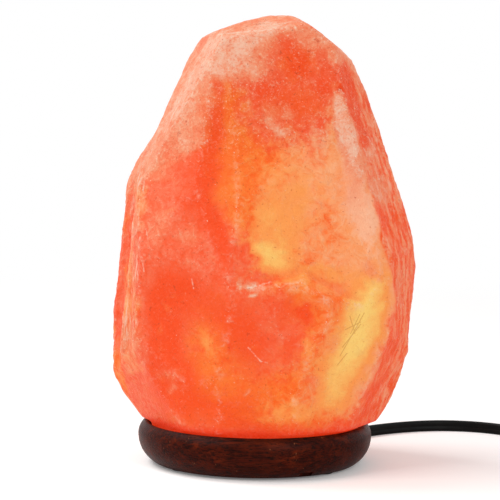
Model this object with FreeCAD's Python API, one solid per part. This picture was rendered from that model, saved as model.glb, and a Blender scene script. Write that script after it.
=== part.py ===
import FreeCAD, Part
import math
import os

from FreeCAD import Vector

# A salt crystal lamp: a rough crystal screwed to a turned wooden base, a sprung lamp holder that
# pushes into the base from below, and a flat twin lead with a dimmer and a plug.
# Millimetres. +X is to the right, +Y to the back, +Z up, and the table is at z = 0. The origin lies
# below the middle of the crystal, so the base's own axis is a little to its left.

# --- driving dimensions -------------------------------------------------------------------------

AXIS_X = -3.0  # the base's turned axis

# the wooden base
BASE_BOTTOM = 1.0
BASE_FOOT_R = 46.8  # at the table
BASE_R = 54.0  # at the widest
BASE_WIDE_Z = 12.5
RIM_R = 51.0  # the crest of the rim
RIM_Z = 19.5
SEAT_Z = 16.0  # the floor of the recess that the crystal sits in
SEAT_R = 49.2
BORE_R = 23.0
PLATE_SEAT_R = 26.4
PLATE_SEAT_DEPTH = 1.4
FOOT_PAD_R = 5.0
FOOT_PAD_THICK = 2.0
FOOT_PAD_CIRCLE = 39.5
FOOT_PAD_BEARINGS = [20, 128, 215, 320]  # clear of the groove and the screws
SCREW_CIRCLE = 33.0
GROOVE_WIDE = 6.8
GROOVE_TOP = 8.9

# the rough lump: how far it reaches at each height, as (height, left, right, front, back)
CRYSTAL_LEVELS = [
    (16.0, -52.0, 50.0, -56.0, 56.0),
    (20.4, -55.4, 53.0, -58.0, 58.0),
    (30.0, -63.5, 59.0, -60.0, 60.0),
    (40.0, -69.6, 63.4, -61.0, 61.0),
    (54.0, -69.4, 67.0, -62.0, 62.0),
    (72.0, -69.2, 67.8, -62.0, 62.0),
    (90.0, -66.8, 70.2, -62.0, 62.0),
    (108.0, -65.4, 68.0, -60.0, 60.0),
    (130.0, -63.0, 60.6, -58.0, 58.0),
    (138.0, -60.0, 57.8, -56.0, 56.0),
    (152.0, -50.6, 53.2, -52.0, 52.0),
    (172.0, -42.4, 45.8, -44.0, 44.0),
    (187.0, -36.2, 38.4, -38.0, 38.0),
    (196.0, -30.6, 28.0, -32.0, 32.0),
    (202.0, -15.0, 19.6, -26.0, 26.0),
    (206.2, 0.0, 11.5, -16.0, 16.0),
]
# the corners of its plan, as shares of its reach: right, then round by the back, left and front
CRYSTAL_PLAN = [
    (1.00, -0.06),
    (0.97, 0.60),
    (0.60, 1.00),
    (-0.55, 1.00),
    (-0.96, 0.62),
    (-1.00, 0.12),
    (-0.97, -0.58),
    (-0.60, -1.00),
    (0.60, -1.00),
    (0.97, -0.60),
]
# its foot, which fits the base's seat, and the underside over the rim, as (radius, height)
CRYSTAL_FOOT = [(47.6, 16.0), (48.2, 19.9), (59.0, 21.2), (76.0, 40.0), (100.0, 60.0)]
# where pieces have split off: each piece lies beyond one flat, or beyond two that meet in a
# hollow corner; a flat is (bearing, tilt, a point on it)
CRYSTAL_SPLITS = [
    # the smooth face at the front's right, down to the ledge, and the rough one above it
    [(-78, 12, (51.5, -35, 107)), (-100, 64, (14, -46.5, 92))],
    [(-78, 12, (51.5, -35, 107)), (-45, 50, (20, -46, 91))],
    [(-83, 18, (-8, -42, 130))],
    # the bulge under the ledge, and the lens beside it
    [(-91, -3, (0, -53, 72))],
    [(-58, -3, (43, -43, 65))],
    # the coral face at the front's left, and the one above it
    [(-112, 8, (-40, -41.5, 100))],
    [(-125, 17, (-20, -30, 178))],
    # round the foot, from the left
    [(-150, -23, (-53.5, -35, 53))],
    [(-116, -10, (-38, -39.5, 25))],
    [(-90, -13, (0, -47.6, 21))],
    [(-62, -12, (30, -40, 24))],
    [(-28, -20, (52.6, -34, 54))],
    # the streaked left side, and the one above it
    [(-160, 3, (-57, -31, 95))],
    [(-162, 27, (-31.5, -23, 175))],
    # the right flank, and the narrow bevel along its front edge
    [(-23, 0, (58, -31, 92))],
    [(-27, 18, (44, -28, 139.4))],
    [(-50, 15, (45, -30.7, 130))],
    # the top
    [(-100, 62, (0, -16, 200))],
    [(100, 45, (0, 26, 192))],
    [(55, 40, (24, 20, 185))],
    # the back
    [(62, 4, (45, 40, 90))],
    [(95, -3, (0, 54.2, 70))],
    [(85, 18, (0, 46, 140))],
    [(128, 10, (-42, 42, 100))],
    [(148, 26, (-40, 25, 165))],
    [(35, 20, (45, 26, 150))],
    [(22, -4, (64, 22, 80))],
    [(160, -3, (-65, 22, 75))],
    [(60, -25, (38, 42, 36))],
    [(130, -22, (-40, 42, 36))],
    [(95, -16, (0, 47, 22))],
]
# shallow hollows, as (bearing, tilt, middle, wide, deep); a long one also has the lean of its run
CRYSTAL_HOLLOWS = [
    (-98, 16, (-20, -38, 150), 30, 3.0, 0),
    (-84, 18, (14, -33, 163), 46, 2.2),
    (-90, -4, (17, -53, 76), 24, 1.6),
    (-114, 2, (-37, -44, 64), 60, 1.7),
    (-128, -12, (-46, -38, 44), 30, 1.2, 70),
    (-27, 18, (50, -21, 141), 22, 1.2),
    (-160, 3, (-60, -21, 100), 11, 1.3, 4),
    (-160, 3, (-64, -8, 80), 12, 1.3, -6),
    (95, 2, (6, 52.8, 90), 50, 2.5),
    (30, 4, (62, 26, 104), 36, 2.0),
    (150, 4, (-59, 28, 100), 36, 2.0),
]
CAVITY_R = 23.5
CAVITY_SHOULDER_Z = 80.0
PLUG_R = 4.0
PLUG_TOP_Z = 40.0

# the lamp holder and bulb
PLATE_R = 25.8
PLATE_Z = 1.2
PLATE_THICK = 1.0
HOLDER_R = 12.0
HOLDER_TOP_Z = 36.0
SLEEVE_R = 6.2  # inside the threaded brass sleeve
BULB_THREAD_R = 5.95
BULB_R = 11.0
BULB_TOP_Z = 82.0
CAP_BOTTOM_Z = 16.5
CAP_TOP_Z = 32.5

# the lead: two cores side by side, lying on edge
LEAD_WIDE = 5.6
LEAD_THICK = 2.8
LEAD_R = LEAD_WIDE / 2
LEAD_BEARING = 53.0  # the way it leaves the base, from +X towards +Y, in degrees
LEAD_IN_Z = 5.3  # its middle over the cover plate
LEAD_IN_END = 28.0  # where the held stretch ends, from the base's axis
COIL_MIDDLE = Vector(225, 18, 0)
COIL_OUTER_R = 42.4
COIL_PITCH = 6.2  # from turn to turn and from layer to layer
COIL_TURNS = 5.75
COIL_START = 90.0  # bearing of its first point, in degrees
TIE_THICK = 0.8  # the coil rests on its tie

# the dimmer on the lead and the plug at its end
DIMMER_MIDDLE = Vector(225, -46, 0)
DIMMER_LONG = 64.0
DIMMER_WIDE = 28.0
DIMMER_HIGH = 18.0
DIMMER_SPLIT_Z = 7.0
DIMMER_WALL = 1.6
GUARD_LONG = 21.0
DIAL_R = 11.0
DIAL_HIGH = 5.0
PLUG_END_X = 229.0  # where the lead enters the plug's strain relief
PLUG_Y = 80.0
PLUG_BODY_LONG = 26.0
PLUG_BODY_WIDE = 25.0
PLUG_BODY_HIGH = 16.0
BLADE_LONG = 17.0

UP = Vector(0, 0, 1)
os.makedirs("parts", exist_ok=True)


# --- small makers -------------------------------------------------------------------------------

def on_axis(shape):
    """Moves a shape that was made round the world's Z onto the base's axis."""
    return shape.translated(Vector(AXIS_X, 0, 0))


def turned(outline):
    """A solid turned round Z from its half outline: corners (r, z), and between two of them an
    arc's middle point where one is given as (r, z, "arc")."""
    edges = []
    count = len(outline)
    place = [Vector(corner[0], 0, corner[1]) for corner in outline]
    for i in range(count):
        if len(outline[i]) == 3:
            continue
        nxt = (i + 1) % count
        if len(outline[nxt]) == 3:
            edges.append(Part.Arc(place[i], place[nxt], place[(nxt + 1) % count]).toShape())
        else:
            edges.append(Part.LineSegment(place[i], place[nxt]).toShape())
    solid = Part.Face(Part.Wire(edges)).revolve(Vector(0, 0, 0), UP, 360)
    if solid.Volume < 0:
        solid = solid.reversed()
    return solid


def rod(r, low, high, x=0.0, y=0.0):
    return Part.makeCylinder(r, high - low, Vector(x, y, low), UP)


def block(x0, x1, y0, y1, z0, z1):
    return Part.makeBox(x1 - x0, y1 - y0, z1 - z0, Vector(x0, y0, z0))


def to_bearing(shape, bearing):
    """Turns a shape that points along +X to a bearing round Z."""
    return shape.rotated(Vector(0, 0, 0), UP, bearing)


def strip(outline, wide, bearing):
    """A bent strip: its side outline in the XZ plane, as wide as said, turned to a bearing."""
    corners = [Vector(x, -wide / 2, z) for x, z in outline]
    face = Part.Face(Part.makePolygon(corners + corners[:1]))
    return to_bearing(face.extrude(Vector(0, wide, 0)), bearing)


def rounded_box(long, wide, low, high, corner_r):
    """A box with its middle on Z and its upright edges rounded."""
    box = block(-long / 2, long / 2, -wide / 2, wide / 2, low, high)
    upright = [e for e in box.Edges if abs(e.tangentAt(e.FirstParameter).z) > 0.99]
    return box.makeFillet(corner_r, upright)


def save(node, *solids):
    shape = solids[0] if len(solids) == 1 else Part.makeCompound(list(solids))
    shape.exportStep("parts/" + node + ".step")


# --- the crystal --------------------------------------------------------------------------------

def crystal_ring(level):
    """The corners of the rough lump at one height."""
    z, left, right, front, back = level
    return [
        Vector(left + (right - left) * (1 + u) / 2, front + (back - front) * (1 + v) / 2, z)
        for u, v in CRYSTAL_PLAN
    ]


def flat_face(*corners):
    return Part.Face(Part.makePolygon(list(corners) + [corners[0]]))


def outward(bearing, tilt):
    """The way that a flat with this bearing and tilt faces."""
    a, t = math.radians(bearing), math.radians(tilt)
    return Vector(math.cos(t) * math.cos(a), math.cos(t) * math.sin(a), math.sin(t))


def beyond(bearing, tilt, point):
    """All that lies outside a flat."""
    box = Part.makeBox(200, 400, 400, Vector(0, -200, -200))
    box = to_bearing(box.rotated(Vector(0, 0, 0), Vector(0, 1, 0), -tilt), bearing)
    return box.translated(Vector(*point))


def hollow(bearing, tilt, middle, wide, deep, lean=None):
    """What cuts a shallow hollow: a large ball, or a large cylinder that runs up the slope."""
    r = wide * wide / (8 * deep) + deep / 2
    way = outward(bearing, tilt)
    centre = Vector(*middle) + way * (r - deep)
    if lean is None:
        return Part.makeSphere(r, centre)
    run = FreeCAD.Rotation(way, lean).multVec(outward(bearing, tilt + 90))
    return Part.makeCylinder(r, 300, centre - run * 150, run)


def crystal_block():
    """The outside of the crystal: the rough lump on its foot, less what has split off."""
    rings = [crystal_ring(level) for level in CRYSTAL_LEVELS]
    faces = [flat_face(*reversed(rings[0])), flat_face(*rings[-1])]
    corners = len(CRYSTAL_PLAN)
    for below, above in zip(rings, rings[1:]):
        for k in range(corners):
            n = (k + 1) % corners
            faces.append(flat_face(below[k], below[n], above[n]))
            faces.append(flat_face(below[k], above[n], above[k]))
    shell = Part.Shell(faces)
    shell.sewShape()
    solid = Part.Solid(shell)
    if solid.Volume < 0:
        solid.reverse()
    foot_r, top = CRYSTAL_FOOT[-1][0], CRYSTAL_LEVELS[-1][0]
    solid = solid.common(on_axis(turned([(0, SEAT_Z)] + CRYSTAL_FOOT + [(foot_r, top), (0, top)])))
    for flats in CRYSTAL_SPLITS:
        piece = beyond(*flats[0])
        for flat in flats[1:]:
            piece = piece.common(beyond(*flat))
        solid = solid.cut(piece)
    for place in CRYSTAL_HOLLOWS:
        solid = solid.cut(hollow(*place))
    return solid


def cavity():
    """The bored hole for the bulb, with a domed end."""
    slant = CAVITY_R * math.sqrt(0.5)
    return turned([
        (0, SEAT_Z - 1),
        (CAVITY_R, SEAT_Z - 1),
        (CAVITY_R, CAVITY_SHOULDER_Z),
        (slant, CAVITY_SHOULDER_Z + slant, "arc"),
        (0, CAVITY_SHOULDER_Z + CAVITY_R),
    ])


def screw_places():
    """Bearings of the three screws between the base and the crystal."""
    return [LEAD_BEARING + 60 + 120 * i for i in range(3)]


def make_crystal():
    solid = crystal_block().cut(on_axis(cavity()))
    for bearing in screw_places():
        hole = rod(PLUG_R + 0.1, SEAT_Z - 1, PLUG_TOP_Z + 1, SCREW_CIRCLE)
        solid = solid.cut(on_axis(to_bearing(hole, bearing)))
    save("salt_crystal", solid)
    print("crystal: %.2f litres, %.2f kg" % (solid.Volume / 1e6, solid.Volume / 1e6 * 2.16))


# --- the wooden base ----------------------------------------------------------------------------

def make_base():
    """Turned from one piece, with a rounded side, a rim round the crystal's seat, a centre bore,
    a step for the cover plate and a groove underneath for the lead."""
    wood = turned([
        (BORE_R, BASE_BOTTOM),
        (BASE_FOOT_R, BASE_BOTTOM),
        (BASE_R - 2.0, BASE_BOTTOM + 5.0, "arc"),
        (BASE_R, BASE_WIDE_Z),
        (BASE_R - 0.8, BASE_WIDE_Z + 4.4, "arc"),
        (RIM_R, RIM_Z),
        (RIM_R - 1.1, RIM_Z - 0.2, "arc"),
        (SEAT_R, RIM_Z - 1.2),
        (SEAT_R, SEAT_Z),
        (BORE_R, SEAT_Z),
    ])
    wood = wood.cut(rod(PLATE_SEAT_R, BASE_BOTTOM - 1, BASE_BOTTOM + PLATE_SEAT_DEPTH))
    half = GROOVE_WIDE / 2
    groove = block(BORE_R - 2, BASE_R + 5, -half, half, 0, GROOVE_TOP - half)
    arch = Part.makeCylinder(half, BASE_R + 7 - BORE_R, Vector(BORE_R - 2, 0, GROOVE_TOP - half),
                             Vector(1, 0, 0))
    wood = wood.cut(to_bearing(groove.fuse(arch), LEAD_BEARING))
    for bearing in screw_places():
        hole = rod(2.3, 0, SEAT_Z + 1, SCREW_CIRCLE)
        sink = Part.makeCone(4.4, 2.3, 2.4, Vector(SCREW_CIRCLE, 0, BASE_BOTTOM + 0.4), UP)
        mouth = rod(4.4, 0, BASE_BOTTOM + 0.4, SCREW_CIRCLE)
        wood = wood.cut(to_bearing(hole.fuse([sink, mouth]), bearing))
    for bearing in FOOT_PAD_BEARINGS:
        pocket = rod(FOOT_PAD_R + 0.2, 0, FOOT_PAD_THICK, FOOT_PAD_CIRCLE)
        wood = wood.cut(to_bearing(pocket, bearing))
    chip = block(BASE_FOOT_R + 0.6, BASE_R, -3.2, 3.2, 0, 4.6).rotated(
        Vector(BASE_FOOT_R, 0, 3), Vector(0, 1, 0), 24)
    wood = wood.cut(to_bearing(chip, -62))
    save("wood_base", on_axis(wood))


def make_base_fittings():
    """The pads under the base, and the screws and nylon plugs that hold the crystal on it."""
    pads = []
    for bearing in FOOT_PAD_BEARINGS:
        pad = rod(FOOT_PAD_R, 0, FOOT_PAD_THICK, FOOT_PAD_CIRCLE)
        pads.append(on_axis(to_bearing(pad, bearing)))
    save("foot_pads", *pads)
    screws, plugs = [], []
    for bearing in screw_places():
        screw = turned([
            (0, BASE_BOTTOM + 0.5),
            (4.1, BASE_BOTTOM + 0.5),
            (2.1, BASE_BOTTOM + 2.7),
            (2.1, SEAT_Z),
            (1.7, SEAT_Z + 0.6),
            (1.7, SEAT_Z + 15),
            (0, SEAT_Z + 17),
        ])
        for turn in (0, 90):
            cross = block(-2.0, 2.0, -0.35, 0.35, 0, BASE_BOTTOM + 1.8)
            screw = screw.cut(to_bearing(cross, turn))
        plug = rod(PLUG_R, SEAT_Z + 0.05, PLUG_TOP_Z)
        plug = plug.cut(turned([(0, SEAT_Z), (2.15, SEAT_Z), (1.75, SEAT_Z + 0.7),
                                (1.75, SEAT_Z + 15), (0, SEAT_Z + 17.2)]))
        move = Vector(SCREW_CIRCLE, 0, 0)
        screws.append(on_axis(to_bearing(screw.translated(move), bearing)))
        plugs.append(on_axis(to_bearing(plug.translated(move), bearing)))
    save("base_screws", *screws)
    save("screw_plugs", *plugs)


# --- the lamp holder ----------------------------------------------------------------------------

def make_cover_plate():
    """The pressed steel disc that closes the bore, with its two spring clips riveted on."""
    top = PLATE_Z + PLATE_THICK
    plate = rod(PLATE_R, PLATE_Z, top)
    clips, rivets = [], []
    for side in (90, -90):
        bearing = LEAD_BEARING + side
        plate = plate.cut(to_bearing(rod(1.25, 0, 3, 15.6), bearing))
        plate = plate.cut(to_bearing(rod(1.6, 0, 3, 8.2), bearing))
        clip = strip([(13.2, top), (18.6, top), (22.7, 9.6), (21.0, 14.6), (20.5, 14.4),
                      (22.1, 9.6), (18.3, top + 0.5), (13.2, top + 0.5)], 8.0, bearing)
        clip = clip.cut(to_bearing(rod(1.25, 0, 4, 15.6), bearing))
        clips.append(on_axis(clip))
        rivet = turned([(0, PLATE_Z - 0.5), (1.9, PLATE_Z - 0.5), (2.2, PLATE_Z), (1.2, PLATE_Z),
                        (1.2, top + 0.5), (2.2, top + 0.5), (1.6, top + 1.3), (0, top + 1.4)])
        rivets.append(on_axis(to_bearing(rivet.translated(Vector(15.6, 0, 0)), bearing)))
    save("cover_plate", on_axis(plate))
    save("spring_clips", *clips)
    save("clip_rivets", *rivets)


def make_holder():
    """The moulded lamp holder: a threaded brass sleeve and a sprung centre contact in a body
    with a wiring chamber, held to the plate by two screws from below."""
    low = PLATE_Z + PLATE_THICK
    body = turned([
        (0, low), (HOLDER_R, low), (HOLDER_R, 13.0), (HOLDER_R - 1.4, 14.6),
        (HOLDER_R - 1.4, HOLDER_TOP_Z - 1), (HOLDER_R - 2.4, HOLDER_TOP_Z), (0, HOLDER_TOP_Z),
    ])
    body = body.cut(rod(SLEEVE_R + 0.45, 12.2, HOLDER_TOP_Z + 1))
    chamber = block(-7.6, 8.0, -4.4, 4.4, low + 1.2, 11.0)
    slot = block(0, HOLDER_R + 1, -LEAD_THICK / 2 - 0.1, LEAD_THICK / 2 + 0.1,
                 LEAD_IN_Z - LEAD_R - 0.1, LEAD_IN_Z + LEAD_R + 0.1)
    contact_hole = rod(1.7, 10.5, 12.6)
    side_hole = block(-7.6, -5.7, -2.2, 2.2, 10.0, 18.0)
    cut = to_bearing(chamber.fuse([slot, side_hole]), LEAD_BEARING).fuse(contact_hole)
    body = body.cut(cut)
    screws = []
    for side in (90, -90):
        bearing = LEAD_BEARING + side
        body = body.cut(to_bearing(rod(1.35, low - 1, 9.2, 8.2), bearing))
        screw = turned([(0, PLATE_Z - 1.0), (2.2, PLATE_Z - 1.0), (2.6, PLATE_Z), (1.3, PLATE_Z),
                        (1.3, 8.4), (0, 9.0)])
        screw = screw.cut(block(-3, 3, -0.35, 0.35, 0, PLATE_Z - 0.4))
        screws.append(on_axis(to_bearing(screw.translated(Vector(8.2, 0, 0)), bearing)))
    save("holder_body", on_axis(body))
    save("holder_screws", *screws)

    sleeve = rod(SLEEVE_R + 0.4, 13.4, HOLDER_TOP_Z - 1.5).cut(rod(SLEEVE_R, 12, HOLDER_TOP_Z))
    tab = to_bearing(block(-7.1, -6.5, -1.8, 1.8, 6.2, 17.0), LEAD_BEARING)
    save("socket_sleeve", on_axis(sleeve.fuse(tab)))

    leaf = strip([(0.9, 11.6), (0.9, 13.0), (-0.9, 13.0), (-0.9, 12.5), (0.3, 12.5), (0.3, 11.2),
                  (0.3, 7.6), (5.4, 7.6), (5.4, 8.1), (0.9, 8.1)], 2.0, LEAD_BEARING)
    save("centre_contact", on_axis(leaf))


def flat_lead(length, start, bearing):
    """A straight stretch of the twin lead, on edge, from start."""
    half = LEAD_THICK / 2
    cores = [Part.makeCylinder(half, length, Vector(0, 0, side * half), Vector(1, 0, 0))
             for side in (1, -1)]
    web = block(0, length, -half * 0.55, half * 0.55, -half, half)
    lead = cores[0].fuse([cores[1], web]).removeSplitter()
    return to_bearing(lead, bearing).translated(start)


def lead_point(r, z):
    """A point on the way out of the base, r from its axis."""
    a = math.radians(LEAD_BEARING)
    return Vector(AXIS_X + r * math.cos(a), r * math.sin(a), z)


def make_lead_in():
    """The held stretch of lead over the cover plate, its clamp, and the two stripped cores."""
    start = HOLDER_R - 3.0
    save("lead_in", flat_lead(LEAD_IN_END - start, lead_point(start, LEAD_IN_Z), LEAD_BEARING))
    low = PLATE_Z + PLATE_THICK
    clamp = block(HOLDER_R + 0.6, HOLDER_R + 5.6, -4.2, 4.2, low, LEAD_IN_Z + LEAD_R + 1.6)
    clamp = clamp.makeFillet(0.8, [e for e in clamp.Edges if e.BoundBox.ZMin > low + 1])
    hole = block(HOLDER_R, HOLDER_R + 7, -LEAD_THICK / 2 - 0.05, LEAD_THICK / 2 + 0.05,
                 LEAD_IN_Z - LEAD_R - 0.05, LEAD_IN_Z + LEAD_R + 0.05)
    save("lead_clamp", on_axis(to_bearing(clamp.cut(hole), LEAD_BEARING)))
    half = LEAD_THICK / 2
    cores = []
    for side, far in ((1, -5.6), (-1, 2.2)):
        z = LEAD_IN_Z + side * half
        core = Part.makeCylinder(0.6, start - 0.05 - far, Vector(far, 0, z), Vector(1, 0, 0))
        cores.append(on_axis(to_bearing(core, LEAD_BEARING)))
    save("stripped_cores", *cores)


# --- the bulb -----------------------------------------------------------------------------------

def make_bulb():
    """A small candelabra bulb: glass, threaded brass cap, insulator, tip, stem and filament."""
    neck = 5.0
    wall = 0.6
    nose_r = 10.0
    nose_z = BULB_TOP_Z - nose_r

    def glass(inset, low):
        """The turned space inside the glass's outline drawn in by inset, from low upwards."""
        nose = []
        for up_from_side in (20, 55):
            a = math.radians(up_from_side)
            nose.append(((nose_r - inset) * math.cos(a), nose_z + (nose_r - inset) * math.sin(a)))
        return turned([
            (0, low), (neck - inset, low), (neck - inset, CAP_TOP_Z + 3.2), (7.4 - inset, 40.0, "arc"),
            (9.7 - inset, 46.0), (BULB_R - inset, 58.0, "arc"), nose[0], nose[1] + ("arc",),
            (0, BULB_TOP_Z - inset)])

    save("bulb_glass", on_axis(glass(0, CAP_TOP_Z - 4).cut(glass(wall, CAP_TOP_Z - 5))))

    pitch, depth = 2.54, 0.55
    root = BULB_THREAD_R - depth
    thread = [(root, CAP_BOTTOM_Z)]
    z = CAP_BOTTOM_Z + 0.6
    while z + pitch < CAP_TOP_Z - 1:
        thread += [(root, z), (BULB_THREAD_R, z + pitch / 2, "arc"), (root, z + pitch)]
        z += pitch + 0.01
    thread += [(root, CAP_TOP_Z), (root - 0.35, CAP_TOP_Z), (root - 0.35, CAP_BOTTOM_Z)]
    save("bulb_cap", on_axis(turned(thread)))

    save("bulb_insulator", on_axis(turned([
        (0, 14.6), (1.6, 14.6), (root, CAP_BOTTOM_Z - 0.05), (0, CAP_BOTTOM_Z - 0.05)])))
    save("bulb_tip", on_axis(turned([
        (0, 13.3), (1.0, 13.6, "arc"), (1.5, 14.55), (0, 14.55)])))

    stem = turned([(0, CAP_TOP_Z - 3.9), (neck - wall - 0.1, CAP_TOP_Z - 3.9),
                   (neck - wall - 0.1, CAP_TOP_Z - 3.3), (2.0, 33.5), (1.5, 46.0), (0, 46.0)])
    save("bulb_stem", on_axis(stem))
    wires = []
    for side in (1, -1):
        wires.append(Part.makeCylinder(0.25, 14.3, Vector(side * 0.9, 0, 46.2), Vector(side * 0.28, 0, 1)))
    arc = Part.Wire(Part.Arc(Vector(-4.6, 0, 60.2), Vector(0, 0, 63.4), Vector(4.6, 0, 60.2)).toShape())
    ring = Part.Wire(Part.makeCircle(0.35, arc.Edges[0].valueAt(arc.Edges[0].FirstParameter),
                                     arc.Edges[0].tangentAt(arc.Edges[0].FirstParameter)))
    filament = arc.makePipeShell([ring], True, False)
    save("filament", *[on_axis(piece) for piece in wires + [filament]])


# --- the free lead ------------------------------------------------------------------------------

def arc_within(start, corner, end):
    """The arc that leaves start and reaches end along the two equal sides that meet at corner."""
    middle = (start + end) * 0.5
    half = start.distanceToPoint(end) / 2
    c = min(1.0, half / start.distanceToPoint(corner))
    return Part.Arc(start, middle + (corner - middle) * (c / (1 + c)), end).toShape()


def rounded_route(name, points):
    """Straight runs through the points, joined by arcs as large as the runs allow."""
    edges, radii, at = [], [], points[0]
    for before, here, after in zip(points, points[1:], points[2:]):
        into, out = here - before, after - here
        side = 0.45 * min(into.Length, out.Length)
        turn = into.getAngle(out)
        radii.append(side / math.tan(turn / 2))
        first = here - into.normalize() * side
        last = here + out.normalize() * side
        edges.append(Part.LineSegment(at, first).toShape())
        edges.append(arc_within(first, here, last))
        at = last
    edges.append(Part.LineSegment(at, points[-1]).toShape())
    print(name, "radii", " ".join("%.0f" % r for r in radii))
    return edges


def tube(name, edges, r):
    """A round tube along tangent edges, with its volume set against its section times its length."""
    path = Part.Wire(edges)
    start = edges[0].valueAt(edges[0].FirstParameter)
    along = edges[0].tangentAt(edges[0].FirstParameter)
    section = Part.Wire(Part.makeCircle(r, start, along))
    solid = path.makePipeShell([section], True, False)
    if solid.Volume < 0:
        solid.reverse()
    ratio = solid.Volume / (math.pi * r * r * path.Length)
    print("%s: length %.1f, volume ratio %.4f, valid %s" % (name, path.Length, ratio, solid.isValid()))
    return solid, path.Length


def coil_place(turns):
    """The coil's centreline after so many turns: inwards on the table, up a layer, outwards."""
    half = COIL_TURNS / 2
    off, blend = abs(turns - half), 0.25
    steps = off if off > blend else off * off / (2 * blend) + blend / 2
    r = COIL_OUTER_R - COIL_PITCH * (half - steps)
    rise = min(1.0, max(0.0, (turns - half) / (2 * blend) + 0.5))
    z = TIE_THICK + LEAD_R + COIL_PITCH * rise * rise * (3 - 2 * rise)
    a = math.radians(COIL_START + 360 * turns)
    return COIL_MIDDLE + Vector(r * math.cos(a), r * math.sin(a), z)


def coil_heading(turns):
    step = 1e-4
    return (coil_place(turns + step) - coil_place(turns - step)).normalize()


def biarc(start, heading, end, end_heading):
    """Two tangent arcs from start to end with the headings given."""
    across = end - start
    both = heading + end_heading
    k = 2 * (1 - heading.dot(end_heading))
    along = across.dot(both)
    side = (math.sqrt(along * along + k * across.dot(across)) - along) / k
    first = start + heading * side
    second = end - end_heading * side
    meet = (first + second) * 0.5
    return [arc_within(start, first, meet), arc_within(meet, second, end)]


def coil_edges():
    """The turns as biarcs of a quarter turn, with a straight end of one diameter at each side."""
    quarters = round(COIL_TURNS * 4)
    places = [coil_place(i / 4) for i in range(quarters + 1)]
    headings = [coil_heading(i / 4) for i in range(quarters + 1)]
    edges = [Part.LineSegment(places[0] - headings[0] * LEAD_WIDE, places[0]).toShape()]
    for i in range(quarters):
        edges += biarc(places[i], headings[i], places[i + 1], headings[i + 1])
    edges.append(Part.LineSegment(places[-1], places[-1] + headings[-1] * LEAD_WIDE).toShape())
    per_turn = 72
    line = [coil_place(i / per_turn) for i in range(round(COIL_TURNS * per_turn) + 1)]
    gap = min(
        line[i].distanceToPoint(line[j])
        for i in range(len(line))
        for j in range(i + per_turn // 2, len(line))
    )
    print("coil: least gap to itself %.2f mm" % (gap - LEAD_WIDE))
    return edges


def make_leads():
    """The lead from the base to the dimmer, and from there by the coil to the plug."""
    guard_reach = DIMMER_LONG / 2 + GUARD_LONG
    run = [
        lead_point(LEAD_IN_END, LEAD_IN_Z),
        lead_point(LEAD_IN_END + 9, LEAD_IN_Z),
        lead_point(LEAD_IN_END + 25, LEAD_R),
        Vector(43, 60.5, LEAD_R),
        Vector(58, 76.0, LEAD_R),
        Vector(76, 87.5, LEAD_R),
        Vector(94, 92.3, LEAD_R),
        Vector(113, 88.0, LEAD_R),
        Vector(128, 76.0, LEAD_R),
        Vector(137, 58.0, LEAD_R),
        Vector(139, 37.0, LEAD_R),
        Vector(135, 16.0, LEAD_R),
        Vector(133, -5.0, LEAD_R),
        Vector(136, -23.0, LEAD_R),
        Vector(143, -37.5, DIMMER_SPLIT_Z - 2),
        Vector(157, -46.0, DIMMER_SPLIT_Z),
        DIMMER_MIDDLE + Vector(-guard_reach - 0.05, 0, DIMMER_SPLIT_Z),
    ]
    solid, lamp_long = tube("lead_to_dimmer", rounded_route("lead_to_dimmer", run), LEAD_R)
    save("lead_to_dimmer", solid)

    first, heading = coil_place(0), coil_heading(0)
    start = first - heading * LEAD_WIDE
    into_coil = [
        DIMMER_MIDDLE + Vector(guard_reach + 0.05, 0, DIMMER_SPLIT_Z),
        DIMMER_MIDDLE + Vector(guard_reach + 14, 0, DIMMER_SPLIT_Z),
        Vector(308, -37.5, DIMMER_SPLIT_Z - 2),
        Vector(316, -22.0, LEAD_R),
        Vector(317, -2.0, LEAD_R),
        Vector(313, 20.0, LEAD_R),
        Vector(300, 41.0, LEAD_R),
        Vector(278, 55.0, LEAD_R),
        start - heading * 22,
        start,
    ]
    solid, in_long = tube("lead_to_coil", rounded_route("lead_to_coil", into_coil), LEAD_R)
    save("lead_to_coil", solid)
    solid, coil_long = tube("lead_coil", coil_edges(), LEAD_R)
    save("lead_coil", solid)

    last, heading = coil_place(COIL_TURNS), coil_heading(COIL_TURNS)
    end = last + heading * LEAD_WIDE
    to_plug = [
        end,
        end + heading * 16,
        Vector(267.6, 57.0, end.z),
        Vector(259.5, 71.5, end.z),
        Vector(245, PLUG_Y, PLUG_BODY_HIGH / 2),
        Vector(PLUG_END_X + 0.05, PLUG_Y, PLUG_BODY_HIGH / 2),
    ]
    solid, out_long = tube("lead_to_plug", rounded_route("lead_to_plug", to_plug), LEAD_R)
    save("lead_to_plug", solid)
    print("lamp to dimmer %.0f mm, dimmer to plug %.0f mm" % (
        lamp_long, in_long + coil_long + out_long))
    make_coil_tie()


def make_coil_tie():
    """A strap round the bundle of turns, on the side away from the plug."""
    gap = 0.2
    inner = COIL_OUTER_R - COIL_PITCH * COIL_TURNS / 2 - LEAD_R - gap
    outer = COIL_OUTER_R + LEAD_R + gap
    top = TIE_THICK + LEAD_WIDE + COIL_PITCH + gap
    loop = block(inner - TIE_THICK, outer + TIE_THICK, -3, 3, 0, top + TIE_THICK)
    loop = loop.makeFillet(2.5, [e for e in loop.Edges if abs(e.tangentAt(e.FirstParameter).y) > 0.99])
    hole = block(inner, outer, -4, 4, TIE_THICK - gap / 4, top)
    hole = hole.makeFillet(1.8, [e for e in hole.Edges if abs(e.tangentAt(e.FirstParameter).y) > 0.99])
    save("coil_tie", to_bearing(loop.cut(hole), 200).translated(COIL_MIDDLE))


# --- the dimmer ---------------------------------------------------------------------------------

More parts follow.
